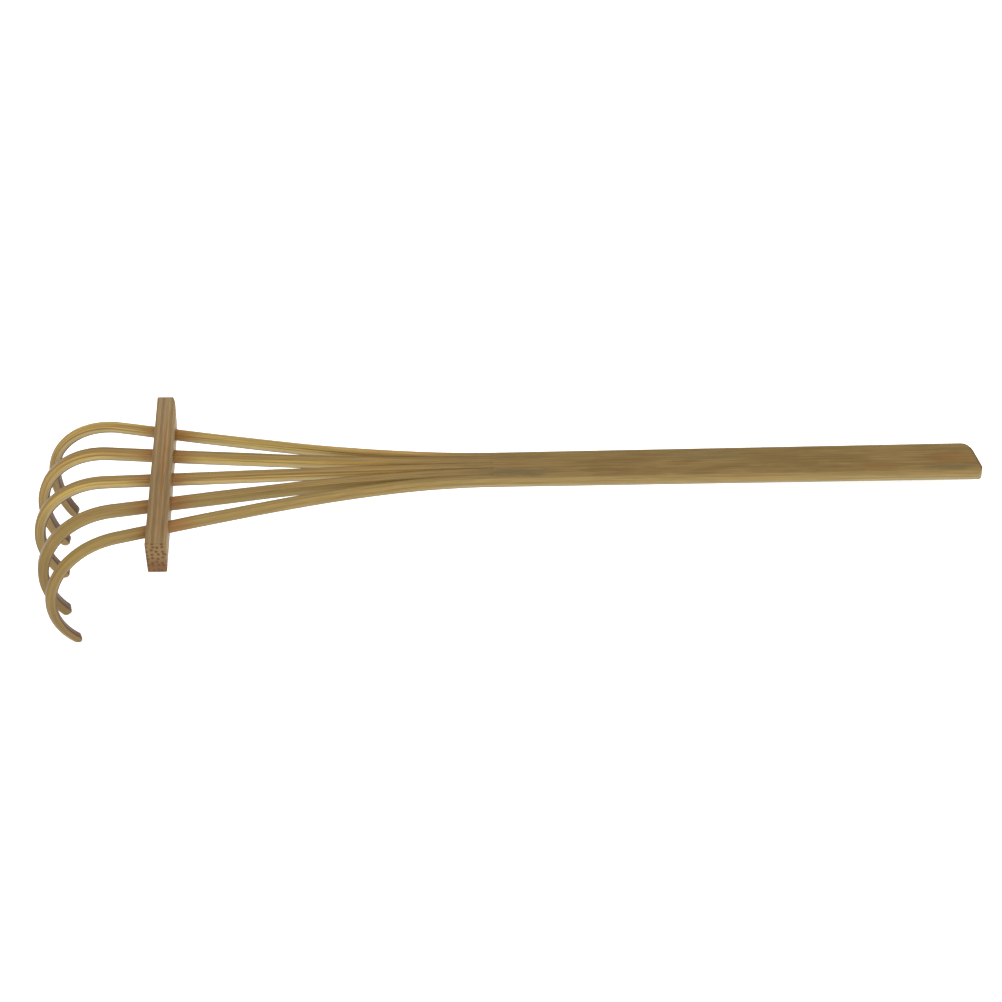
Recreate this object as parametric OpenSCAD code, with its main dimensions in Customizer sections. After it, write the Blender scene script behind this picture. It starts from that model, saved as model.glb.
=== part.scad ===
// Bamboo back scratcher: one split strip of bamboo, bent into five hooked tines,
// with a cross-bar that holds the tines apart. It lies on its hooks and handle end.

/* [Handle] */
// Length of the unsplit strip, from the split to the handle's square corner
handle_len = 206.6; // [150:0.1:300]
// Width of the strip where the splits start
root_w = 18.6; // [12:0.1:24]
// Width of the strip at the handle's free end
end_w = 19.8; // [12:0.1:26]
// Thickness of the strip
strip_t = 4.8; // [3.5:0.1:6]
// Width of the shoulder cut along the upper edges
shoulder_w = 2.2; // [0.6:0.1:2.5]
// Height of the shoulder cut along the upper edges
shoulder_h = 1.6; // [0.5:0.1:2]
// How far the end's cut slants back across the width
end_slant = 5; // [0:0.5:10]
// Radius of the end's near corner
near_r = 2.5; // [1:0.5:4]
// Radius of the end's far corner
far_r = 9; // [1:0.5:9.5]

/* [Tines] */
// Length of the splits, from the root to the cross-bar
split_len = 140; // [100:1:180]
// Share of the strip's width that each tine takes, far tine first
tine_share = [0.205, 0.21, 0.185, 0.22, 0.18]; // [0.15:0.005:0.25]
// Distance between tine centres at the cross-bar
tine_pitch = 15.5; // [10:0.1:20]
// How far each tine sits to the far side of its even place there, far tine first
place_extra = [-0.2, 0, 0.2, 0, 0.6]; // [-1:0.1:1]
// How far the tines sweep down from the handle to the cross-bar
bar_drop = 3; // [0:0.1:8]
// Bevel along the sawn edges of a tine
tine_bevel = 0.5; // [0.2:0.1:0.8]

/* [Hooks] */
// Straight length past the cross-bar, before the middle tine's hook
reach = 24.6; // [15:0.1:40]
// What is added to that length on each tine, far tine first
reach_extra = [-2.1, -0.2, 0, -3.6, -4.2]; // [-6:0.1:6]
// Bend radius of the middle hook
hook_r = 30.5; // [22:0.5:38]
// What is added to that radius on each tine, far tine first
hook_r_extra = [3, 1.2, 0, 1.9, 0.4]; // [0:0.1:5]
// Angle that the middle tine turns through, from level to its tip
hook_turn = 134; // [110:0.5:155]
// How far each tip stays above what the scratcher lies on, far tine first
tip_lift = [0, 1.8, 2, 0, 0]; // [0:0.1:3]
// Thickness of a tine at its tip
tip_t = 4.4; // [3:0.1:5]

/* [Cross-bar] */
// Length of the cross-bar
bar_len = 93.5; // [85:0.5:120]
// Width of the cross-bar at the top of its near end, along the handle
bar_w = 9; // [6:0.1:12]
// Share of that width that is left at the foot
foot_share = 0.9; // [0.7:0.01:1]
// Share of that width that is left at the far end
far_share = 0.94; // [0.7:0.01:1]
// Angle between the cross-bar and a square line across the strip
bar_skew = 0.5; // [-3:0.1:3]
// Height of the cross-bar
bar_h = 16; // [12:0.5:20]
// Height of the cross-bar above the middle line of the tines
bar_above = 6.6; // [4:0.1:9]
// Bevel along the cross-bar's edges
bar_bevel = 0.6; // [0.2:0.1:1.5]
// Gap between a tine and its slot in the cross-bar, on every side
slot_gap = 0.12; // [0.05:0.01:0.4]

/* [Hidden] */
tines = 5;
middle = 3;
handle_end = split_len + handle_len;
tip_r = tip_t / 2;
taper = atan((end_w - root_w) / 2 / (handle_len - near_r));
over = 1;              // how far a cutter runs past what it cuts
bow_stretch = 0.6;     // half of what the square of bow_slope adds up to from 0 to 1
tip_share = 0.7;       // share of its width that a tine would keep where its rounding ends
split_steps = 14;      // rings along the splayed stretch
hook_steps = 26;       // rings round a hook
tip_angles = [25, 50, 72];  // rings round the tip's rounding
end_steps = 8;         // points round each of the handle's corners

// The tines splay as bent springs do: no slope at the root, no bend at the cross-bar.
function bow(u) = (3 * u * u - u * u * u) / 2;
function bow_slope(u) = (6 * u - 3 * u * u) / 2;

// Places of tine i, counted from the far side: across the strip, and in the cross-bar.
function tine_w(i) = tine_share[i - 1] * root_w;
function width_before(i) = i == 1 ? 0 : width_before(i - 1) + tine_w(i - 1);
function root_y(i) = (root_w - tine_w(i)) / 2 - width_before(i);
function bar_y(i) = (middle - i) * tine_pitch + place_extra[i - 1];
function splay(i) = bar_y(i) - root_y(i);
function heading(i, u) = atan(splay(i) * bow_slope(u) / split_len);
function dip(u) = atan(bar_drop * bow_slope(u) / split_len);

// Unit vectors of a tine that heads h degrees sideways and dips p degrees.
function along(h, p) = [-cos(h) * cos(p), sin(h) * cos(p), -sin(p)];
function across(h) = [sin(h), cos(h), 0];
function outward(h, p) = [-cos(h) * sin(p), sin(h) * sin(p), cos(p)];

// A splayed tine is longer on its way to the cross-bar, so less of it is left beyond.
function stretch(i) = bow_stretch * splay(i) * splay(i) / split_len;
function lead(i) = reach + reach_extra[i - 1] - stretch(i);
function radius(i) = hook_r + hook_r_extra[i - 1];
bar_dip = dip(1);

// Middle of tine i in the cross-bar, start of its hook, and middle of the hook's bend.
function at_bar(i) = [0, bar_y(i), -bar_drop];
function hook_start(i) = at_bar(i) + lead(i) * along(heading(i, 1), bar_dip);
function hook_middle(i) = hook_start(i) - radius(i) * outward(heading(i, 1), bar_dip);

// The lean is the angle at which the middle tip and the handle's end are at their heights
// over one floor.
function tip_height(i) = tip_r + tip_lift[i - 1];
mid_tip = hook_middle(middle) + radius(middle) * outward(heading(middle, 1), hook_turn);
rest_dx = handle_end - mid_tip.x;
rest_dz = -strip_t / 2 - mid_tip.z;
lean = atan2(rest_dz, rest_dx) + asin(tip_height(middle) / norm([rest_dx, rest_dz]));
floor_z = -handle_end * sin(lean) - strip_t / 2 * cos(lean);

// Each other hook turns until its own tip is at its height above the same floor.
function sink(v) = -v.x * sin(lean) + v.z * cos(lean);
function tip_swing(i) = [cos(heading(i, 1)) * sin(lean), cos(lean)];
function tip_dip(i) = atan2(tip_swing(i).x, tip_swing(i).y)
    + acos((floor_z + tip_height(i) - sink(hook_middle(i))) / radius(i) / norm(tip_swing(i)));

// The part's origin is under the middle of its length.
function hook_left(i) = hook_middle(i).x * cos(lean) + hook_middle(i).z * sin(lean)
    - radius(i) - strip_t / 2;
left_x = min([for (i = [1 : tines]) hook_left(i)]);
right_x = handle_end * cos(lean) + strip_t / 2 * sin(lean);

module lay_down() {
    translate([-(left_x + right_x) / 2, 0, -floor_z])
        rotate([0, lean, 0])
            children();
}

// One ring of a tine is [centre, heading, dip, width, thickness].
function split_ring(i, u) = [
    [split_len * (1 - u), root_y(i) + splay(i) * bow(u), -bar_drop * bow(u)],
    heading(i, u), dip(u), tine_w(i), strip_t];

function hook_ring(i, s) =
    let (h = heading(i, 1), p = bar_dip + (tip_dip(i) - bar_dip) * s)
    [hook_middle(i) + radius(i) * outward(h, p), h, p, tine_w(i), strip_t + (tip_t - strip_t) * s];

function tip_ring(i, a) =
    let (
        h = heading(i, 1), p = tip_dip(i), last = hook_ring(i, 1),
        w = tine_w(i) * (tip_share + (1 - tip_share) * cos(a))
    )
    [last[0] + tip_r * sin(a) * along(h, p), h, p, w, tip_t * cos(a)];

function rings(i) = [
    for (j = [0 : split_steps]) split_ring(i, j / split_steps),
    for (j = [0 : hook_steps]) hook_ring(i, j / hook_steps),
    for (a = tip_angles) tip_ring(i, a)];

// Section of a tine as [across, up] points; the outer tines keep the strip's shoulder.
function section(i, w, t) =
    let (
        b = min(tine_bevel, t / 4),
        far_w = i == 1 ? shoulder_w : b,
        far_h = min(i == 1 ? shoulder_h : b, t / 2),
        near_w = i == tines ? shoulder_w : b,
        near_h = min(i == tines ? shoulder_h : b, t / 2)
    )
    [
        [w / 2 - far_w, t / 2], [near_w - w / 2, t / 2],
        [-w / 2, t / 2 - near_h], [-w / 2, b - t / 2],
        [b - w / 2, -t / 2], [w / 2 - b, -t / 2],
        [w / 2, b - t / 2], [w / 2, t / 2 - far_h]
    ];

function ring_points(i, ring) = [
    for (q = section(i, ring[3], ring[4]))
        ring[0] + q.x * across(ring[1]) + q.y * outward(ring[1], ring[2])];

// Joins rings whose points run counter-clockwise, seen from the first ring towards the last.
module sweep(loops) {
    n = len(loops[0]);
    last = len(loops) - 1;
    points = [for (one = loops) each one];
    sides = [
        for (j = [0 : last - 1], k = [0 : n - 1])
            let (a = j * n + k, b = j * n + (k + 1) % n)
            each [[a, b, b + n], [a, b + n, a + n]]];
    caps = [[for (k = [n - 1 : -1 : 0]) k], [for (k = [0 : n - 1]) last * n + k]];
    polyhedron(points, concat(sides, caps), convexity = 4);
}

module tine(i) {
    color("burlywood")
        lay_down()
            sweep([for (ring = rings(i)) ring_points(i, ring)]);
}

// Points round a corner of the handle, from one facing angle to another.
function corner(centre, r, from, to) = [
    for (j = [0 : end_steps])
        let (a = from + (to - from) * j / end_steps)
        centre + r * [cos(a), sin(a)]];

// Plan of the handle: tapered, with a slanted end whose two corners are rounded.
module handle_plan() {
    facing = atan(end_slant / end_w);
    face = [cos(facing), sin(facing)];
    near = [handle_end - near_r, near_r - end_w / 2];
    far_y = end_w / 2 - far_r;
    far = [(near * face + near_r - far_r - far_y * face.y) / face.x, far_y];
    polygon(concat(
        [[split_len, root_w / 2], [split_len, -root_w / 2]],
        corner(near, near_r, -90, facing),
        corner(far, far_r, facing, 90)
    ));
}

module shoulder_cutter() {
    rotate([90, 0, 90])
        linear_extrude(handle_len + 2 * over)
            polygon([
                [-shoulder_w, 0], [0, -shoulder_h], [over, -shoulder_h],
                [over, over], [-shoulder_w, over]
            ]);
}

module handle() {
    color("tan")
        lay_down()
            difference() {
                translate([0, 0, -strip_t / 2])
                    linear_extrude(strip_t)
                        handle_plan();
                for (side = [0, 1])
                    mirror([0, side, 0])
                        translate([split_len - over, root_w / 2, strip_t / 2])
                            rotate([0, 0, taper])
                                shoulder_cutter();
            }
}

// Section of the cross-bar at one end, y along it and k the share of its width there.
function bar_ring(y, k) =
    let (
        x = bar_w / 2 * k, foot = x * foot_share,
        top = bar_above, low = bar_above - bar_h, b = bar_bevel
    )
    [for (q = [
        [-foot, low + b], [-foot + b, low], [foot - b, low], [foot, low + b],
        [x, top - b], [x - b, top], [-x + b, top], [-x, top - b]
    ]) [q.x, y, q.y]];

module bar_block() {
    translate([0, 0, -bar_drop])
        rotate([0, 0, -bar_skew])
            sweep([bar_ring(-bar_len / 2, 1), bar_ring(bar_len / 2, far_share)]);
}

module bar_slot(i) {
    translate(at_bar(i))
        rotate([0, -bar_dip, -heading(i, 1)])
            cube([3 * bar_w, tine_w(i) + 2 * slot_gap, strip_t + 2 * slot_gap], center = true);
}

module spreader_bar() {
    color("rosybrown")
        lay_down()
            difference() {
                bar_block();
                for (i = [1 : tines]) bar_slot(i);
            }
}

handle();
tine(1);  // tine_1
tine(2);  // tine_2
tine(3);  // tine_3
tine(4);  // tine_4
tine(5);  // tine_5
spreader_bar();
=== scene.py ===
import math

import bmesh
import bpy
from bpy.props import FloatProperty, FloatVectorProperty, IntProperty, PointerProperty
from mathutils import Matrix, Vector, noise


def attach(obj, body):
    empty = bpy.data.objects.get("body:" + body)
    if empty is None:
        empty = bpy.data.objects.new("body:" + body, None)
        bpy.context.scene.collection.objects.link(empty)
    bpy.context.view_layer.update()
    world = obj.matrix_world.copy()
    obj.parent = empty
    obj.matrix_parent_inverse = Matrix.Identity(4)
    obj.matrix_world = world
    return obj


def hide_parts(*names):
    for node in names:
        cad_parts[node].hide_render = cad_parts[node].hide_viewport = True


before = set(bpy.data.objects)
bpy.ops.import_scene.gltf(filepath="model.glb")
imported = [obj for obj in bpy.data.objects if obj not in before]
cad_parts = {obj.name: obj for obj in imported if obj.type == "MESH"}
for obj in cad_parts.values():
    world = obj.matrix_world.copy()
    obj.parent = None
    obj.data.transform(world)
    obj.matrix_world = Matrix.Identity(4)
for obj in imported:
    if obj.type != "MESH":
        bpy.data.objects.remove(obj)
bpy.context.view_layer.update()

bl_info = {
    "name": "Bamboo Back Scratcher",
    "version": (1, 0, 0),
    "blender": (4, 5, 0),
    "location": "View3D > Sidebar > Scratcher",
    "description": "Builds a back scratcher from one split strip of bamboo and a slotted cross-bar",
    "category": "Add Mesh",
}

MM = 0.001
TINES = 5
MIDDLE = 3

# Points nearer to each other than this are in the same place.
TOUCHING = MM / 1000
# A cutting plane goes through a point that is nearer to it than this.
ON_PLANE = 1e-7
# A splayed tine's course is longer than a straight one by this share of its splay squared over the split's
# length: half of what the square of bow_slope adds up to.
BOW_STRETCH = 0.6

# Sockets of a Mix node that mixes colours.
FACTOR, COLOR_A, COLOR_B = 0, 6, 7
# A Map Range node that eases in and out.
SOFT = {"interpolation_type": "SMOOTHSTEP"}


def linear(hex_code):
    """Turns an sRGB hex code into the linear colour that Blender works in."""
    parts = [int(hex_code[k:k + 2], 16) / 255 for k in (1, 3, 5)]
    return [c / 12.92 if c <= 0.04045 else ((c + 0.055) / 1.055) ** 2.4 for c in parts]


def length(name, description, mm):
    """A length of the part, whose default is given in millimetres."""
    return FloatProperty(name=name, description=description, default=mm * MM, unit="LENGTH", precision=5)


def lengths(name, description, mm):
    """One length for each tine, the far tine first."""
    return FloatVectorProperty(
        name=name, description=description, size=TINES, default=[v * MM for v in mm], unit="LENGTH",
        precision=5)


def colour(name, description, hex_code):
    """A colour that a user can pick."""
    return FloatVectorProperty(
        name=name, description=description, size=3, subtype="COLOR", min=0, max=1, default=linear(hex_code))


# ---------------------------------------------------------------- sizes and colours

class ScratcherStrip(bpy.types.PropertyGroup):
    """The strip of bamboo that the handle and the tines are split from."""

    handle_len: length("Handle", "From the split to the handle's square corner", 206.6)
    root_w: length("Width at the split", "Width of the strip where the splits start", 18.6)
    end_w: length("Width at the end", "Width of the strip at the handle's free end", 19.8)
    thick: length("Thickness", "Thickness of the strip", 4.8)
    shoulder: length("Shoulder", "Rounding that is planed along the upper edges", 2.5)
    sole: length("Lower rounding", "Rounding along the lower edges", 0.5)
    crown: length("Crown", "Rise of the culm's own curve across the strip", 0.22)
    end_slant: length("End slant", "How far the end's cut slants back across the width", 5)
    near_r: length("Near corner", "Radius of the end's near corner", 2.5)
    far_r: length("Far corner", "Radius of the end's far corner", 9)


class ScratcherTines(bpy.types.PropertyGroup):
    """The five splits of the strip and their hooks."""

    split_len: length("Split", "From the root of the splits to the cross-bar", 140)
    share: FloatVectorProperty(
        name="Shares", description="Share of the strip's width that each tine takes", size=TINES,
        default=(0.205, 0.21, 0.185, 0.22, 0.18))
    pitch: length("Pitch", "Distance between tine centres at the cross-bar", 15.5)
    place_extra: lengths(
        "Off its place", "How far a tine sits to the far side of its place", (-0.2, 0, 0.2, 0, 0.6))
    bar_drop: length("Sweep", "How far the tines sweep down to the cross-bar", 3)
    upper_edge: length("Upper edges", "Rounding along a tine's upper edges", 0.95)
    lower_edge: length("Lower edges", "Rounding along a tine's lower edges", 0.4)
    reach: length("Reach", "Straight length past the cross-bar, before the middle hook", 24.6)
    reach_extra: lengths(
        "Extra reach", "What is added to the reach on each tine", (-2.1, -0.2, 0, -3.6, -4.2))
    hook_r: length("Hook radius", "Bend radius of the middle hook", 30.5)
    hook_r_extra: lengths("Extra radius", "What is added to the radius on each tine", (3, 1.2, 0, 1.9, 0.4))
    hook_turn: FloatProperty(
        name="Turn", description="From level to the middle tine's tip", default=math.radians(134),
        unit="ROTATION")
    tip_lift: lengths("Tip lift", "How far each tip stays above the floor", (0, 1.8, 2, 0, 0))
    tip_t: length("Tip thickness", "Thickness of a tine at its tip", 4.4)
    wander: length("Wander", "How far a hand-split tine strays from its even course", 0.22)


class ScratcherBar(bpy.types.PropertyGroup):
    """The slotted cross-bar that holds the tines apart."""

    long: length("Length", "Length of the cross-bar", 93.5)
    wide: length("Width", "Width at the top of its near end", 9)
    high: length("Height", "Height of the cross-bar", 16)
    above: length("Above the tines", "Its height above the middle line of the tines", 6.6)
    foot_share: FloatProperty(name="Foot", description="Share of the width left at the foot", default=0.9)
    far_share: FloatProperty(
        name="Far end", description="Share of the width left at the far end", default=0.94)
    skew: FloatProperty(
        name="Skew", description="Turn away from square", default=math.radians(0.5), unit="ROTATION")
    edge: length("Edges", "Rounding along its edges", 0.6)
    gap: length("Slot gap", "Gap between a tine and its slot, on every side", 0.12)
    shave_x: length("Shaving, across", "What a knife took off the far corner, across the bar", 2.2)
    shave_y: length("Shaving, along", "What a knife took off the far corner, along the bar", 10)


class ScratcherFinish(bpy.types.PropertyGroup):
    """Colours of the bamboo."""

    skin: colour("Skin", "The culm's outer side on the handle", "#7A6234")
    skin_dark: colour("Skin, dark", "Darker patches of that skin", "#6D5629")
    shoulder: colour("Planed shoulder", "Where the plane has cut through the skin", "#856F3D")
    flesh_brown: colour("Handle side", "The inside of the culm, on the handle", "#8F7F58")
    tine_top: colour("Tine top", "The tines' scraped outer side", "#836A39")
    gold: colour("Gold flesh", "The yellow flesh under the tines' outer side", "#B0964F")
    amber: colour("Amber flesh", "Warmer streaks in that flesh, and near the root of the splits", "#A67A3E")
    steamed: colour("Steamed", "The hooks, browned when they were bent", "#664E27")
    gold_dark: colour("Gold flesh, dark", "Brown fibres in that flesh", "#846E3A")
    flesh: colour("Split side", "The pale inside of the culm, on the tines", "#A29268")
    near_edge: colour("Near edge", "The weathered outer edge of the near tine", "#7C6633")
    # Painted shade: the colour laid over the hooks' inner side.
    hook_inside_shade: colour("Hook, inside", "The hooks' inner side, next to the heat", "#4E3218")
    # This colour also paints the shade along each tine's far side.
    bundle: colour("Fibre bundles", "The hard dark fibres, and the edges that use has darkened", "#5A4224")
    # This colour serves for scorch stains, and also paints the shade on the tines next to the cross-bar.
    scorch_and_shade: colour("Scorch", "Where heat and glue have browned the bamboo", "#7A4A18")
    bar: colour("Cross-bar", "The cross-bar's greyer bamboo", "#846942")
    bar_dark: colour("Cross-bar, dark", "Its darker fibres", "#68502B")
    bar_light: colour("Cross-bar, light", "Its paler far half", "#957D57")
    foot: colour("Cross-bar, foot", "The stained foot of the cross-bar's end", "#64400F")
    bar_grey: colour("Cross-bar, grey", "Patches that have weathered", "#77694A")
    dot: colour("Cut bundles", "Bundles that the knife cut across, on its ends", "#4E3218")
    # This colour makes the lower edges darker.
    sole: colour("Sole", "The soiled lower edges", "#6E644A")
    bar_end: colour("Cross-bar, end grain", "The ground between the cut bundles", "#775D37")
    mould: colour("Stain", "Old grey-green water stains", "#565236")
    floor: colour("Floor", "The pale floor", "#FFFFFF")


class ScratcherView(bpy.types.PropertyGroup):
    """Where the camera stands, seen from the strip."""

    distance: length("Distance", "From the camera to the point that it looks at", 1450)
    aim: FloatVectorProperty(
        name="Aim", description="The point on the strip that it looks at, from the cross-bar", size=3,
        default=(143.1 * MM, -9.2 * MM, -10.1 * MM), subtype="XYZ_LENGTH", precision=5)
    elevation: FloatProperty(
        name="Elevation", description="Height above the strip's plane", default=math.radians(42.15),
        unit="ROTATION")
    turn: FloatProperty(
        name="Turn", description="Turn away from square to the strip", default=math.radians(1.6),
        unit="ROTATION")
    lens: FloatProperty(name="Lens", description="Focal length", default=123.1, unit="CAMERA")


class ScratcherSettings(bpy.types.PropertyGroup):
    """All that a user can change."""

    strip: PointerProperty(type=ScratcherStrip)
    tines: PointerProperty(type=ScratcherTines)
    bar: PointerProperty(type=ScratcherBar)
    finish: PointerProperty(type=ScratcherFinish)
    view: PointerProperty(type=ScratcherView)
    fineness: IntProperty(name="Fineness", description="Rings along each tine's splay", default=44, min=8)


# ---------------------------------------------------------------- the strip's own geometry
#
# The strip's frame has X along the strip from the cross-bar to the handle's end, Y across it
# to the far side, and Z up from the middle of its thickness.

def bow(u):
    """How far a tine has splayed at share u of its split: as a bent spring, straight at the bar."""
    return (3 * u * u - u ** 3) / 2


def bow_slope(u):
    """The slope of bow."""
    return (6 * u - 3 * u * u) / 2


def axes(head, dip):
    """Unit vectors across, outward of and along a tine that heads sideways and dips down."""
    across = Vector((math.sin(head), math.cos(head), 0))
    outward = Vector((-math.cos(head) * math.sin(dip), math.sin(head) * math.sin(dip), math.cos(dip)))
    along = Vector((-math.cos(head) * math.cos(dip), math.sin(head) * math.cos(dip), -math.sin(dip)))
    return across, outward, along


def station(centre, head, dip, wide=1.0, thick=1.0):
    """The place of one section: X across the tine, Y outward, Z towards its tip."""
    across, outward, along = axes(head, dip)
    place = Matrix((across * wide, outward * thick, along)).transposed().to_4x4()
    place.translation = centre
    return place


class Tine:
    """The course of one tine, counted from the far side, as the strip's and the tines' sizes give it."""

    def __init__(self, settings, number):
        strip, tines = settings.strip, settings.tines
        self.settings = settings
        self.number = number
        before = sum(tines.share[:number - 1])
        self.wide = tines.share[number - 1] * strip.root_w
        self.root_y = strip.root_w * (0.5 - before) - self.wide / 2
        self.bar_y = (MIDDLE - number) * tines.pitch + tines.place_extra[number - 1]
        self.splay = self.bar_y - self.root_y
        self.head = self.heading(1)
        self.dip = self.dipping(1)
        self.radius = tines.hook_r + tines.hook_r_extra[number - 1]
        self.at_bar = Vector((0, self.bar_y, -tines.bar_drop))
        outward, along = axes(self.head, self.dip)[1:]
        stretch = BOW_STRETCH * self.splay ** 2 / tines.split_len
        self.lead = tines.reach + tines.reach_extra[number - 1] - stretch
        self.middle = self.at_bar + self.lead * along - self.radius * outward
        self.tip_height = tines.tip_t / 2 + tines.tip_lift[number - 1]

    def heading(self, u):
        """How far it has turned sideways at share u of its split."""
        return math.atan(self.splay * bow_slope(u) / self.settings.tines.split_len)

    def dipping(self, u):
        """How far it dips at share u of its split."""
        tines = self.settings.tines
        return math.atan(tines.bar_drop * bow_slope(u) / tines.split_len)

    def on_hook(self, dip):
        """The point of the hook's middle line where it dips so far."""
        return self.middle + self.radius * axes(self.head, dip)[1]

    def tip_dip(self, lean, floor_z):
        """How far the hook turns until its tip is at its own height over the floor."""
        swing = Vector((math.cos(self.head) * math.sin(lean), math.cos(lean)))
        sink = -self.middle.x * math.sin(lean) + self.middle.z * math.cos(lean)
        rise = (floor_z + self.tip_height - sink) / self.radius / swing.length
        return math.atan2(swing.x, swing.y) + math.acos(rise)


def lay(settings):
    """How the strip lies on its hooks and its end: its lean, the floor and the matrix to the part."""
    strip, tines = settings.strip, settings.tines
    end_x = tines.split_len + strip.handle_len
    middle = Tine(settings, MIDDLE)
    tip = middle.on_hook(tines.hook_turn)
    rest = Vector((end_x - tip.x, -strip.thick / 2 - tip.z))
    lean = math.atan2(rest.y, rest.x) + math.asin(middle.tip_height / rest.length)
    floor_z = -end_x * math.sin(lean) - strip.thick / 2 * math.cos(lean)
    lefts = []
    for number in range(1, TINES + 1):
        one = Tine(settings, number)
        centre_x = one.middle.x * math.cos(lean) + one.middle.z * math.sin(lean)
        lefts.append(centre_x - one.radius - strip.thick / 2)
    right = end_x * math.cos(lean) + strip.thick / 2 * math.sin(lean)
    move = Matrix.Translation((-(min(lefts) + right) / 2, 0, -floor_z))
    return lean, floor_z, move @ Matrix.Rotation(lean, 4, "Y")


# ---------------------------------------------------------------- mesh work

def in_order(things):
    """Each thing once, in the order in which they come."""
    return list(dict.fromkeys(things))


def cut_plane(bm, point, normal, geom=None, clear=False):
    """Cuts the mesh, or some of it, along a plane, and can clear away what lies beyond."""
    return bmesh.ops.bisect_plane(
        bm, geom=geom or bm.verts[:] + bm.edges[:] + bm.faces[:], dist=ON_PLANE, plane_co=point,
        plane_no=normal, clear_outer=clear)


def slice_off(bm, point, normal):
    """Cuts away what lies beyond a plane and closes the cut."""
    cut = cut_plane(bm, point, normal, clear=True)
    edges = [e for e in cut["geom_cut"] if isinstance(e, bmesh.types.BMEdge)]
    if edges:
        bmesh.ops.edgeloop_fill(bm, edges=edges)


def round_off(bm, geom, offset, segments, affect):
    """Rounds edges or corners."""
    bmesh.ops.bevel(
        bm, geom=geom, offset=offset, offset_type="OFFSET", segments=segments, profile=0.5,
        affect=affect, clamp_overlap=True, material=-1)


def strip_section(settings):
    """The strip's section as one face, with planed shoulders, a soft sole and the culm's own curve."""
    strip = settings.strip
    bm = bmesh.new()
    bmesh.ops.create_grid(bm, x_segments=1, y_segments=1, size=0.5)
    bmesh.ops.scale(bm, verts=bm.verts, vec=(strip.root_w, strip.thick, 1))
    round_off(bm, [v for v in bm.verts if v.co.y > 0], strip.shoulder, 7, "VERTICES")
    lowest = [v for v in bm.verts if v.co.y < TOUCHING - strip.thick / 2]
    round_off(bm, lowest, strip.sole, 3, "VERTICES")
    top = [e for e in bm.edges if all(v.co.y > strip.thick / 2 - TOUCHING for v in e.verts)]
    bmesh.ops.subdivide_edges(bm, edges=top, cuts=13)
    for vert in bm.verts:
        if vert.co.y > 0:
            share = vert.co.x / (strip.root_w / 2)
            vert.co.y += strip.crown * (1 - share * share)
    return bm


def at_split(vert, cut_x, upper):
    """Whether a point of a section is its upper or its lower corner on a split side."""
    return abs(vert.co.x - cut_x) < TOUCHING and (vert.co.y > 0) == upper


def tine_section(settings, tine):
    """What one tine takes of the strip's section, with its split edges rounded by the knife."""
    strip, tines = settings.strip, settings.tines
    bm = strip_section(settings)
    split_sides = []
    for side, at_edge in ((1, tine.number == 1), (-1, tine.number == TINES)):
        if not at_edge:
            cut_x = tine.root_y + side * tine.wide / 2
            cut_plane(bm, (cut_x, 0, 0), (side, 0, 0), clear=True)
            split_sides.append(cut_x - tine.root_y)
    bmesh.ops.translate(bm, verts=bm.verts, vec=(-tine.root_y, 0, 0))
    for cut_x in split_sides:
        # Points of the crown where the upper edge's rounding goes, and just past it, make way for it.
        crowding = [v for v in bm.verts if v.co.y > strip.thick / 4 and not at_split(v, cut_x, True)
                    and abs(v.co.x - cut_x) < 1.15 * tines.upper_edge]
        bmesh.ops.dissolve_verts(bm, verts=crowding)
        for upper, offset in ((True, tines.upper_edge), (False, tines.lower_edge)):
            corner = [v for v in bm.verts if at_split(v, cut_x, upper)]
            round_off(bm, corner, offset, 5, "VERTICES")
    return bm


def mark_grain(bm, verts, back, distance, across_from, half_width):
    """Writes the grain and the side of one section's points; a matrix takes them back to its plane."""
    grain = bm.verts.layers.float_vector["grain"]
    side = bm.verts.layers.float["side"]
    for vert in verts:
        local = back @ vert.co
        vert[grain] = (distance, local.x + across_from, local.y)
        vert[side] = local.x / half_width


def sweep(bm, stations, distances, across_from, half_width):
    """Carries the section along the stations, leaves a skin behind it and closes its end.

    Each point's grain is its distance along the strip, and its place across it and through it;
    its side is 1 at the piece's far side and -1 at its near side.
    """
    bm.verts.layers.float_vector.new("grain")
    bm.verts.layers.float.new("side")
    edges = bm.edges[:]
    mark_grain(bm, bm.verts, Matrix.Identity(4), distances[0], across_from, half_width)
    bmesh.ops.transform(bm, matrix=stations[0], verts=bm.verts)
    before = stations[0]
    for place, distance in zip(stations[1:], distances[1:]):
        made = bmesh.ops.extrude_edge_only(bm, edges=edges)["geom"]
        verts = {v for v in made if isinstance(v, bmesh.types.BMVert)}
        edges = [e for e in made if isinstance(e, bmesh.types.BMEdge) and all(v in verts for v in e.verts)]
        back = before.inverted()
        mark_grain(bm, verts, back, distance, across_from, half_width)
        bmesh.ops.transform(bm, matrix=place @ back, verts=list(verts))
        before = place
    bmesh.ops.contextual_create(bm, geom=edges)


def end_cut(strip, end_x):
    """The handle's slanted cut: its angle, the way it faces and the middle of its near corner's arc."""
    facing = math.atan(strip.end_slant / strip.end_w)
    face = Vector((math.cos(facing), math.sin(facing), 0))
    return facing, face, Vector((end_x - strip.near_r, strip.near_r - strip.end_w / 2, 0))


def finish_piece(bm, name, material, node, sharp=38):
    """Makes a mesh object of a piece, gives it its material and hands it to the frame."""
    bmesh.ops.recalc_face_normals(bm, faces=bm.faces)
    mesh = bpy.data.meshes.new(name)
    bm.to_mesh(mesh)
    bm.free()
    mesh.polygons.foreach_set("use_smooth", [True] * len(mesh.polygons))
    mesh.set_sharp_from_angle(angle=math.radians(sharp))
    mesh.materials.append(material)
    piece = bpy.data.objects.new(name, mesh)
    bpy.context.scene.collection.objects.link(piece)
    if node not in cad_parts:
        raise RuntimeError(f"the frame has no node named {node}")
    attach(piece, "root")
    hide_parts(node)


# ---------------------------------------------------------------- materials

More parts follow.
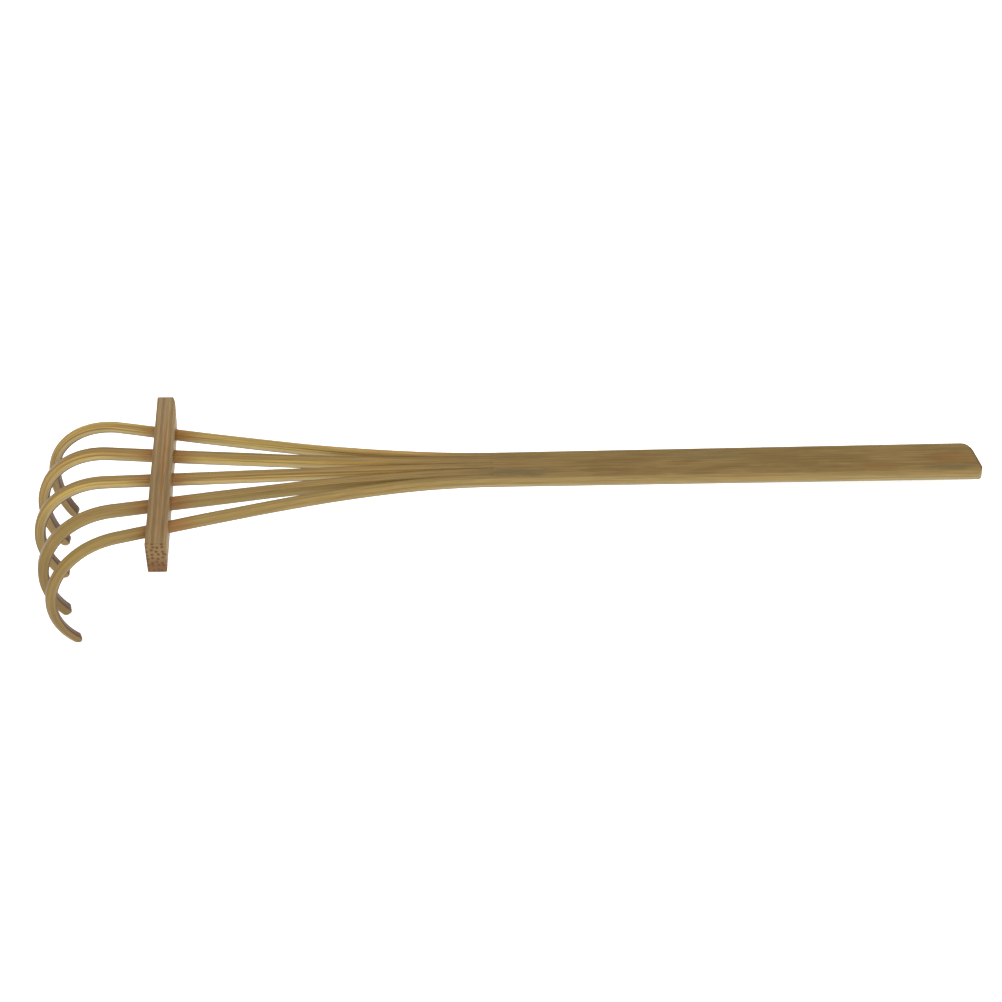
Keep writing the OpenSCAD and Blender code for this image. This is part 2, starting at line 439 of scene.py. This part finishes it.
def add(tree, kind, inputs=(), **settings):
    """Adds a node with its settings; an input is a value, a socket, or a node whose result it takes."""
    node = tree.nodes.new("ShaderNode" + kind)
    for name, value in settings.items():
        setattr(node, name, value)
    for key, value in dict(inputs).items():
        if isinstance(value, bpy.types.Node):
            mixes_colour = value.bl_idname == "ShaderNodeMix" and value.data_type == "RGBA"
            value = value.outputs[2 if mixes_colour else 0]
        if isinstance(value, bpy.types.NodeSocket):
            tree.links.new(value, node.inputs[key])
        else:
            node.inputs[key].default_value = value
    return node


def rgba(value):
    """A colour property as a socket takes it."""
    return (*value, 1)


def new_material(name):
    """An empty material and its node tree."""
    material = bpy.data.materials.new(name)
    material.use_nodes = True
    material.node_tree.nodes.clear()
    return material, material.node_tree


def grain_of(tree):
    """Where a point lies in its piece's grain: as a vector, and its share along, across and through."""
    grain = add(tree, "Attribute", attribute_name="grain", attribute_type="GEOMETRY").outputs["Vector"]
    return grain, *add(tree, "SeparateXYZ", {0: grain}).outputs


def layer(tree, below, shade, value, low, high, strength=1.0):
    """Lays a colour over another: none of it where a value is low, and its full strength at high."""
    mask = add(tree, "MapRange", {"Value": value, "From Min": low, "From Max": high,
                                  "To Max": strength}, **SOFT)
    return add(tree, "Mix", {FACTOR: mask, COLOR_A: below, COLOR_B: shade}, data_type="RGBA")


def streaked(tree, grain, along_mm, across_mm, through_mm, detail):
    """Noise drawn out along the grain, for one streak's size in each direction."""
    scale = (1 / (along_mm * MM), 1 / (across_mm * MM), 1 / (through_mm * MM))
    drawn = add(tree, "VectorMath", {0: grain, 1: scale}, operation="MULTIPLY")
    return add(tree, "TexNoise", {"Vector": drawn, "Scale": 1.0, "Detail": detail, "Roughness": 0.58})


def bundled(tree, across, through, spacing_mm, randomness):
    """How far a point is from the middle of the nearest fibre bundle, as a share of their spacing."""
    place = add(tree, "CombineXYZ", {0: across, 1: through})
    cells = add(tree, "TexVoronoi", {"Vector": place, "Scale": 1 / (spacing_mm * MM),
                                     "Randomness": randomness}, voronoi_dimensions="2D")
    return cells.outputs["Distance"]


def stain(tree, grain, below, shade, centre, size, strength):
    """A soft-edged stain; its place and its size are in millimetres along, across and through."""
    at = [v * MM for v in centre]
    scale = [1 / (v * MM) for v in size]
    away = add(tree, "VectorMath", {0: grain, 1: at}, operation="SUBTRACT")
    measured = add(tree, "VectorMath", {0: away, 1: scale}, operation="MULTIPLY")
    far = add(tree, "VectorMath", {0: measured}, operation="LENGTH")
    return layer(tree, below, shade, far.outputs["Value"], 1.0, 0.25, strength)


def satin(tree, wood, fibres, roughness, depth_mm):
    """Bamboo's satin surface: light and dark fibres, a fine relief and a soft gloss on the hard ones."""
    tone = add(tree, "MapRange", {"Value": fibres, "From Min": 0.25, "From Max": 0.75, "To Min": 0.82,
                                  "To Max": 1.14}, **SOFT)
    toned = add(tree, "Mix", {FACTOR: 1.0, COLOR_A: wood, COLOR_B: tone}, data_type="RGBA",
                blend_type="MULTIPLY")
    rough = add(tree, "MapRange", {"Value": fibres, "From Min": 0.2, "From Max": 0.8,
                                   "To Min": roughness + 0.08, "To Max": roughness - 0.06}, **SOFT)
    relief = add(tree, "Bump", {"Strength": 0.55, "Distance": depth_mm * MM, "Height": fibres})
    shader = add(tree, "BsdfPrincipled", {"Base Color": toned, "Roughness": rough, "Normal": relief,
                                          "IOR": 1.5, "Specular IOR Level": 0.25})
    add(tree, "OutputMaterial", {"Surface": shader})


def handle_wood(tree, settings, grain, through):
    """The handle keeps the culm's brown skin; planing has cut its shoulders to the flesh."""
    finish = settings.finish
    half = settings.strip.thick / 2
    patches = streaked(tree, grain, 22, 5, 5, 3.0)
    wood = layer(tree, rgba(finish.skin), rgba(finish.skin_dark), patches, 0.35, 0.65)
    wood = layer(tree, wood, rgba(finish.shoulder), through, half - 0.15 * MM, half - 0.6 * MM)
    wood = layer(tree, wood, rgba(finish.flesh_brown), through, -0.3 * MM, -1.2 * MM)
    # Darker along the lower edges.
    return layer(tree, wood, rgba(finish.sole), through, 1.2 * MM - half, 0.2 * MM - half, 0.85)


def tine_wood(tree, settings, grain, along, across, through):
    """The tines were scraped again before they were bent: thin skin, then golden and pale flesh."""
    finish = settings.finish
    half = settings.strip.thick / 2
    streaks = streaked(tree, grain, 55, 0.8, 0.9, 2.0)
    warm = streaked(tree, grain, 80, 0.5, 0.6, 2.0)
    golden = layer(tree, rgba(finish.gold), rgba(finish.gold_dark), streaks, 0.44, 0.66)
    golden = layer(tree, golden, rgba(finish.amber), warm, 0.5, 0.64, 0.6)
    golden = layer(tree, golden, rgba(finish.amber), along, 55 * MM, 115 * MM, 0.6)
    wood = layer(tree, golden, rgba(finish.tine_top), through, half - 0.6 * MM, half - 0.1 * MM, 0.92)
    wood = layer(tree, wood, rgba(finish.flesh), through, 0.3 * MM, -1.1 * MM, 0.85)

    # The two outer tines hold the strip's own edges: the far one is golden, and the near one weathered.
    outer_y = settings.strip.root_w * 0.3
    wood = layer(tree, wood, golden, across, outer_y, outer_y + 0.6 * MM, 0.75)
    browned = layer(tree, rgba(finish.near_edge), rgba(finish.gold_dark), streaks, 0.42, 0.6, 0.7)
    wood = layer(tree, wood, browned, across, -outer_y, -outer_y - 0.4 * MM, 0.9)
    # Darker along the lower edges.
    wood = layer(tree, wood, rgba(finish.sole), through, 1.2 * MM - half, 0.2 * MM - half, 0.85)

    # Steam has darkened the hooks. Their inner side is painted darker still: painted shade where the inside
    # of the hook turns away from the light.
    wood = layer(tree, wood, rgba(finish.steamed), along, -34 * MM, -80 * MM, 0.6)
    past_bar = add(tree, "MapRange", {"Value": along, "From Min": -22 * MM, "From Max": -45 * MM}, **SOFT)
    underside = add(tree, "MapRange", {"Value": through, "From Min": 0.8 * MM - half,
                                       "From Max": 0.2 * MM - half}, **SOFT)
    inner = add(tree, "Math", {0: past_bar, 1: underside}, operation="MULTIPLY")
    wood = layer(tree, wood, rgba(finish.hook_inside_shade), inner, 0.0, 1.0, 0.92)

    # Painted shade: each tine is darker towards its far side, next to the gap to its neighbour.
    side = add(tree, "Attribute", attribute_name="side", attribute_type="GEOMETRY").outputs["Fac"]
    return layer(tree, wood, rgba(finish.bundle), side, 0.1, 0.75, 0.65)


def strip_bamboo(name, settings):
    """Bamboo split from a culm: hard fibres in long streaks, browner skin on top, pale flesh below."""
    strip, tines, finish = settings.strip, settings.tines, settings.finish
    material, tree = new_material(name)
    grain, along, across, through = grain_of(tree)
    handle = handle_wood(tree, settings, grain, through)
    split = tine_wood(tree, settings, grain, along, across, through)
    wood = layer(tree, split, handle, along, tines.split_len - 52 * MM, tines.split_len)
    bundles = bundled(tree, across, through, 0.85, 0.8)
    wood = layer(tree, wood, rgba(finish.bundle), bundles, 0.36, 0.14, 0.42)

    # Painted shade on the tines on both sides of the cross-bar, where they pass through it.
    from_bar = add(tree, "Math", {0: along}, operation="ABSOLUTE")
    wood = layer(tree, wood, rgba(finish.scorch_and_shade), from_bar, 17 * MM, 4.5 * MM, 0.62)

    # Hands have darkened the rim of the slanted end.
    face, near = end_cut(strip, tines.split_len + strip.handle_len)[1:]
    rim = face.dot(near) + strip.near_r
    reached = add(tree, "VectorMath", {0: grain, 1: face}, operation="DOT_PRODUCT").outputs["Value"]
    wood = layer(tree, wood, rgba(finish.bundle), reached, rim - 1.5 * MM, rim - 0.2 * MM, 0.75)

    for shade, centre, size, strength in (
            (finish.mould, (150, -5.2, 2.4), (24, 2.6, 2.0), 0.5),
            (finish.mould, (232, 3.5, 2.4), (30, 3.5, 2.0), 0.3),
            (finish.mould, (333, -6.6, 2.2), (20, 1.1, 1.6), 0.75),
            (finish.scorch_and_shade, (334, -1.0, 2.4), (14, 4.0, 2.0), 0.35),
            (finish.scorch_and_shade, (303, -6.0, 2.2), (14, 1.4, 1.6), 0.4)):
        wood = stain(tree, grain, wood, rgba(shade), centre, size, strength)
    # Real fibres are about 0.1 mm wide, and these are drawn as coarse as they need to be to show.
    fibres = streaked(tree, grain, 14, 0.34, 0.4, 3.0)
    satin(tree, wood, fibres, 0.46, 0.12)
    return material


def bar_bamboo(name, settings):
    """Bamboo from low on the culm, knife cut and left raw: coarse bundles that show as dots on the ends."""
    bar, finish = settings.bar, settings.finish
    material, tree = new_material(name)
    grain, along, across, through = grain_of(tree)
    fibres = streaked(tree, grain, 11, 0.4, 0.5, 3.0)
    streaks = streaked(tree, grain, 45, 0.9, 1.2, 2.0)
    patches = streaked(tree, grain, 9, 2.2, 4, 3.0)
    wood = layer(tree, rgba(finish.bar), rgba(finish.bar_dark), streaks, 0.4, 0.66, 0.55)
    wood = layer(tree, wood, rgba(finish.bar_grey), patches, 0.42, 0.62, 0.5)
    wood = layer(tree, wood, rgba(finish.bar_light), along, -0.1 * bar.long, 0.5 * bar.long, 0.5)
    bundles = bundled(tree, across, through, 2.1, 0.55)
    wood = layer(tree, wood, rgba(finish.bundle), bundles, 0.4, 0.2, 0.4)
    wood = stain(tree, grain, wood, rgba(finish.scorch_and_shade), (4, 0.7, bar.above / MM), (44, 0.7, 2), 0.7)

    # End grain: a plain tan ground, stained at the foot, with the cut bundles as dots.
    from_middle = add(tree, "Math", {0: along}, operation="ABSOLUTE")
    at_end = add(tree, "MapRange", {"Value": from_middle, "From Min": bar.long / 2 - 0.5 * MM,
                                    "From Max": bar.long / 2 - 0.15 * MM}, **SOFT)
    wood = layer(tree, wood, rgba(finish.bar_end), at_end, 0.0, 1.0)
    low = bar.above - bar.high
    wood = stain(tree, grain, wood, rgba(finish.foot), (-46.7, 0, low / MM + 1.5), (4, 12, 8.5), 0.95)
    dots = add(tree, "MapRange", {"Value": bundles, "From Min": 0.4, "From Max": 0.28}, **SOFT)
    shown = add(tree, "Math", {0: dots, 1: at_end}, operation="MULTIPLY")
    wood = layer(tree, wood, rgba(finish.dot), shown, 0.0, 1.0, 0.85)

    even = add(tree, "Mix", {0: at_end, 2: fibres, 3: 0.5}, data_type="FLOAT")
    satin(tree, wood, even, 0.55, 0.14)
    return material


# ---------------------------------------------------------------- operators

class SCRATCHER_OT_stage(bpy.types.Operator):
    """Lays the pale floor, hangs the soft lights and sets up the camera."""

    bl_idname = "scratcher.stage"
    bl_label = "Stage"

    def execute(self, context):
        settings = context.scene.scratcher
        self.floor(context, settings)
        self.camera(context, settings)
        self.lights(context)
        return {"FINISHED"}

    def floor(self, context, settings):
        """A wide board under the scratcher."""
        bm = bmesh.new()
        bmesh.ops.create_grid(bm, x_segments=1, y_segments=1, size=4)
        mesh = bpy.data.meshes.new("floor")
        bm.to_mesh(mesh)
        bm.free()
        material, tree = new_material("Matt white board")
        # The board glows a little, as a light table does, so that it hardly takes a shadow.
        white = rgba(settings.finish.floor)
        shader = add(tree, "BsdfPrincipled", {"Base Color": white, "Roughness": 0.9,
                                              "Emission Color": white, "Emission Strength": 0.6})
        add(tree, "OutputMaterial", {"Surface": shader})
        mesh.materials.append(material)
        floor = bpy.data.objects.new("floor", mesh)
        context.scene.collection.objects.link(floor)

    def camera(self, context, settings):
        """A long lens that looks down at the strip from its near side."""
        view = settings.view
        turned = Matrix.Rotation(-view.turn, 4, "Z")
        tilted = Matrix.Rotation(math.pi / 2 - view.elevation, 4, "X")
        back = Matrix.Translation((0, 0, view.distance))
        laid = lay(settings)[2]
        camera = bpy.data.objects.new("camera", bpy.data.cameras.new("camera"))
        camera.data.lens = view.lens
        camera.data.sensor_width = 36
        camera.data.clip_end = 20
        camera.matrix_world = laid @ Matrix.Translation(view.aim) @ turned @ tilted @ back
        context.scene.collection.objects.link(camera)
        context.scene.camera = camera

    def lights(self, context):
        """Two softboxes, their places and sizes in metres and their power in watts, in a white room."""
        for name, place, size, power in (
                ("key softbox", (0.35, -1.5, 1.9), 1.6, 34),
                ("top softbox", (-0.3, 0.5, 2.2), 2.0, 14)):
            light = bpy.data.lights.new(name, "AREA")
            light.size = size
            light.energy = power
            lamp = bpy.data.objects.new(name, light)
            lamp.location = place
            lamp.rotation_euler = (-Vector(place)).to_track_quat("-Z", "Y").to_euler()
            context.scene.collection.objects.link(lamp)
        world = bpy.data.worlds.new("white room")
        world.use_nodes = True
        background = world.node_tree.nodes["Background"]
        background.inputs["Color"].default_value = (1, 1, 1, 1)
        background.inputs["Strength"].default_value = 0.75
        context.scene.world = world
        context.scene.view_settings.view_transform = "Standard"


class SCRATCHER_OT_handle(bpy.types.Operator):
    """Makes the unsplit strip, with its planed shoulders and its slanted, rounded end."""

    bl_idname = "scratcher.handle"
    bl_label = "Handle"

    def execute(self, context):
        settings = context.scene.scratcher
        strip, tines = settings.strip, settings.tines
        laid = lay(settings)[2]
        end_x = tines.split_len + strip.handle_len
        bm = strip_section(settings)
        rings = 40
        # The strip widens evenly as far as the rounding of the near corner.
        run = strip.handle_len - strip.near_r
        stations, distances = [], []
        for k in range(rings + 1):
            x = tines.split_len + strip.handle_len * k / rings
            share = (x - tines.split_len) / run
            wide = 1 + (strip.end_w / strip.root_w - 1) * share
            stations.append(station(Vector((x, 0, 0)), 0, 0, wide=wide))
            distances.append(x)
        sweep(bm, stations, distances, 0, strip.root_w / 2)
        self.shape_end(bm, strip, end_x)
        # The end's sharp edges are sanded down.
        rim = [e for e in bm.edges if e.is_manifold and e.calc_face_angle() > math.radians(28)
               and min(v.co.x for v in e.verts) > end_x - strip.end_slant - strip.far_r]
        round_off(bm, rim, 0.35 * MM, 3, "EDGES")
        grain = bm.verts.layers.float_vector["grain"]
        for vert in bm.verts:
            vert[grain] = vert.co
        bmesh.ops.transform(bm, matrix=laid, verts=bm.verts)
        material = strip_bamboo("Bamboo culm skin, scraped and waxed", settings)
        finish_piece(bm, "bamboo_handle", material, "handle")
        return {"FINISHED"}

    def shape_end(self, bm, strip, end_x):
        """Cuts the end at a slant and rounds both of its corners with a run of flat cuts."""
        facing, face, near = end_cut(strip, end_x)
        far_y = strip.end_w / 2 - strip.far_r
        far_x = (near.dot(face) + strip.near_r - strip.far_r - far_y * face.y) / face.x
        cuts = 9
        for centre, radius, start, stop in (
                (near, strip.near_r, -math.pi / 2, facing),
                (Vector((far_x, far_y, 0)), strip.far_r, facing, math.pi / 2)):
            for k in range(1, cuts + 1):
                angle = start + (stop - start) * k / (cuts + 1)
                normal = Vector((math.cos(angle), math.sin(angle), 0))
                slice_off(bm, centre + radius * normal, normal)
        slice_off(bm, near + strip.near_r * face, face)


class SCRATCHER_OT_tines(bpy.types.Operator):
    """Makes the five tines, which splay from the split, pass the cross-bar and end in a steam-bent hook."""

    bl_idname = "scratcher.tines"
    bl_label = "Tines"

    def execute(self, context):
        settings = context.scene.scratcher
        material = strip_bamboo("Bamboo, split, scraped and steam bent", settings)
        for number in range(1, TINES + 1):
            self.make(settings, Tine(settings, number), material)
        return {"FINISHED"}

    def make(self, settings, tine, material):
        """Makes one tine."""
        lean, floor_z, laid = lay(settings)
        bm = tine_section(settings, tine)
        stations, distances = self.course(settings, tine, lean, floor_z)
        sweep(bm, stations, distances, tine.root_y, tine.wide / 2)
        bmesh.ops.transform(bm, matrix=laid, verts=bm.verts)
        finish_piece(bm, f"bamboo_tine_{tine.number}", material, f"tine_{tine.number}")

    def course(self, settings, tine, lean, floor_z):
        """The sections' places from the root to the tip, and how far along the strip each one is."""
        strip, tines = settings.strip, settings.tines
        rings = settings.fineness
        marks = []
        for k in range(rings + 1):
            u = k / rings
            centre = Vector((
                tines.split_len * (1 - u), tine.root_y + tine.splay * bow(u), -tines.bar_drop * bow(u)))
            marks.append((centre, tine.heading(u), tine.dipping(u), 1.0, 1.0))
        hook_rings = 48
        tip_dip = tine.tip_dip(lean, floor_z)
        thin = tines.tip_t / strip.thick
        for share in (1 / 3, 2 / 3):
            centre = tine.at_bar + share * tine.lead * axes(tine.head, tine.dip)[2]
            marks.append((centre, tine.head, tine.dip, 1.0, 1.0))
        for k in range(hook_rings + 1):
            dip = tine.dip + (tip_dip - tine.dip) * k / hook_rings
            marks.append((tine.on_hook(dip), tine.head, dip, 1.0, 1 + (thin - 1) * k / hook_rings))
        last, along = marks[-1][0], axes(tine.head, tip_dip)[2]
        # The tip is rounded through its thickness, and less across, where this share of its width is left.
        tip_share = 0.6
        for degrees in (18, 34, 48, 60, 71, 80):
            turn = math.radians(degrees)
            centre = last + tines.tip_t / 2 * math.sin(turn) * along
            wide = tip_share + (1 - tip_share) * math.cos(turn)
            marks.append((centre, tine.head, tip_dip, wide, thin * math.cos(turn)))
        stations, distances = [], []
        gone, previous = 0.0, marks[0][0]
        # Waves in each metre of a tine's straying and of its width, and its own place in the noise.
        stray_waves, width_waves = 28, 45
        seed = tine.number * 7.31
        for centre, head, dip, wide, thick in marks:
            gone += (centre - previous).length
            previous = centre
            distance = tines.split_len - gone
            # A hand-split tine strays a little, but not at its root or in its slot.
            free = min(1.0, gone / (30 * MM), abs(distance) / (14 * MM))
            stray = tines.wander * free * noise.noise(Vector((gone * stray_waves, seed, 0)))
            fuller = 1 + 0.07 * free * noise.noise(Vector((gone * width_waves, seed, 3.7)))
            across = axes(head, dip)[0]
            stations.append(station(centre + stray * across, head, dip, wide * fuller, thick))
            distances.append(distance)
        return stations, distances


class SCRATCHER_OT_spreader_bar(bpy.types.Operator):
    """Makes the cross-bar, with a slot for each tine and a corner shaved off its far end."""

    bl_idname = "scratcher.spreader_bar"
    bl_label = "Cross-bar"

    def execute(self, context):
        settings = context.scene.scratcher
        laid = lay(settings)[2]
        bm = self.block(settings.bar)
        place = Matrix.Translation((0, 0, -settings.tines.bar_drop)) @ Matrix.Rotation(
            -settings.bar.skew, 4, "Z")
        bmesh.ops.transform(bm, matrix=place, verts=bm.verts)
        for number in range(1, TINES + 1):
            self.cut_slot(bm, settings, Tine(settings, number))
        grain = bm.verts.layers.float_vector.new("grain")
        back = place.inverted()
        for vert in bm.verts:
            local = back @ vert.co
            vert[grain] = (local.y, local.x, local.z)
        bmesh.ops.transform(bm, matrix=laid, verts=bm.verts)
        material = bar_bamboo("Bamboo, knife cut and left raw", settings)
        finish_piece(bm, "bamboo_spreader_bar", material, "spreader_bar", sharp=30)
        return {"FINISHED"}

    def block(self, bar):
        """The bar before its slots: narrower at the foot and the far end, with soft edges."""
        top, low = bar.above, bar.above - bar.high
        near, far = -bar.long / 2, bar.long / 2
        bm = bmesh.new()
        bmesh.ops.create_cube(bm, size=1)
        bmesh.ops.scale(bm, verts=bm.verts, vec=(2 * bar.wide, bar.long, bar.high))
        bmesh.ops.translate(bm, verts=bm.verts, vec=(0, 0, (top + low) / 2))
        for side in (1, -1):
            x = side * bar.wide / 2
            corner = Vector((x, near, top))
            to_far = Vector((x * bar.far_share, far, top)) - corner
            to_foot = Vector((x * bar.foot_share, near, low)) - corner
            normal = to_far.cross(to_foot)
            slice_off(bm, corner, normal if normal.x * side > 0 else -normal)
        long_edges = [e for e in bm.edges if abs(e.verts[0].co.y - e.verts[1].co.y) > bar.long / 2]
        round_off(bm, long_edges, bar.edge, 4, "EDGES")
        self.shave(bm, bar)
        ends = [e for e in bm.edges if e.calc_face_angle() > math.radians(40)
                and all(abs(v.co.y) > bar.long / 2 - MM / 100 for v in e.verts)]
        round_off(bm, ends, 0.3 * MM, 2, "EDGES")
        return bm

    def shave(self, bm, bar):
        """Rounds the far end's corner towards the handle, as a knife leaves it: long and shallow."""
        side_x = bar.wide / 2 * bar.far_share
        centre = Vector((side_x - bar.shave_x, bar.long / 2 - bar.shave_y, 0))
        cuts = 8
        for k in range(1, cuts + 1):
            angle = math.pi / 2 * k / (cuts + 1)
            point = centre + Vector((bar.shave_x * math.cos(angle), bar.shave_y * math.sin(angle), 0))
            normal = Vector((math.cos(angle) / bar.shave_x, math.sin(angle) / bar.shave_y, 0)).normalized()
            slice_off(bm, point, normal)

    def cut_slot(self, bm, settings, tine):
        """Cuts one slot: scores its outline on both sides of the bar and joins the two openings."""
        bar = settings.bar
        place = station(tine.at_bar, tine.head, tine.dip)
        back = place.inverted()
        half_w = tine.wide / 2 + bar.gap
        half_t = settings.strip.thick / 2 + bar.gap
        across, outward = axes(tine.head, tine.dip)[:2]
        for side in (1, -1):
            cut_plane(bm, tine.at_bar + side * half_w * across, across)
        for side in (1, -1):
            faces = [f for f in bm.faces if self.on_side(f)
                     and abs((back @ f.calc_center_median()).x) < half_w]
            edges = in_order(e for f in faces for e in f.edges)
            verts = in_order(v for f in faces for v in f.verts)
            cut_plane(bm, tine.at_bar + side * half_t * outward, outward, verts + edges + faces)
        openings = []
        for face in bm.faces:
            middle = back @ face.calc_center_median()
            if self.on_side(face) and abs(middle.x) < half_w and abs(middle.y) < half_t:
                openings.append(face)
        if len(openings) != 2:
            raise RuntimeError(f"slot {tine.number} has {len(openings)} openings instead of 2")
        rims = in_order(e for f in openings for e in f.edges)
        bmesh.ops.delete(bm, geom=openings, context="FACES_ONLY")
        bmesh.ops.bridge_loops(bm, edges=rims)

    def on_side(self, face):
        """Whether a face is on the bar's side towards the handle or towards the hooks."""
        return abs(face.normal.x) > 0.9


class SCRATCHER_PT_panel(bpy.types.Panel):
    """Lists the scratcher's pieces and sizes in the sidebar."""

    bl_idname = "SCRATCHER_PT_panel"
    bl_label = "Bamboo Back Scratcher"
    bl_space_type = "VIEW_3D"
    bl_region_type = "UI"
    bl_category = "Scratcher"

    def draw(self, context):
        settings = context.scene.scratcher
        for operator in OPERATORS:
            self.layout.operator(operator.bl_idname)
        for group in (settings.strip, settings.tines, settings.bar, settings.finish, settings.view):
            box = self.layout.box()
            for name in group.__annotations__:
                box.prop(group, name)
        self.layout.prop(settings, "fineness")


GROUPS = (ScratcherStrip, ScratcherTines, ScratcherBar, ScratcherFinish, ScratcherView, ScratcherSettings)
OPERATORS = (SCRATCHER_OT_stage, SCRATCHER_OT_handle, SCRATCHER_OT_tines, SCRATCHER_OT_spreader_bar)


def register():
    for one in (*GROUPS, *OPERATORS, SCRATCHER_PT_panel):
        bpy.utils.register_class(one)
    bpy.types.Scene.scratcher = PointerProperty(type=ScratcherSettings)


def unregister():
    del bpy.types.Scene.scratcher
    for one in reversed((*GROUPS, *OPERATORS, SCRATCHER_PT_panel)):
        bpy.utils.unregister_class(one)


def main():
    register()
    bpy.ops.scratcher.stage()
    bpy.ops.scratcher.handle()
    bpy.ops.scratcher.tines()
    bpy.ops.scratcher.spreader_bar()


if __name__ == "__main__":
    main()
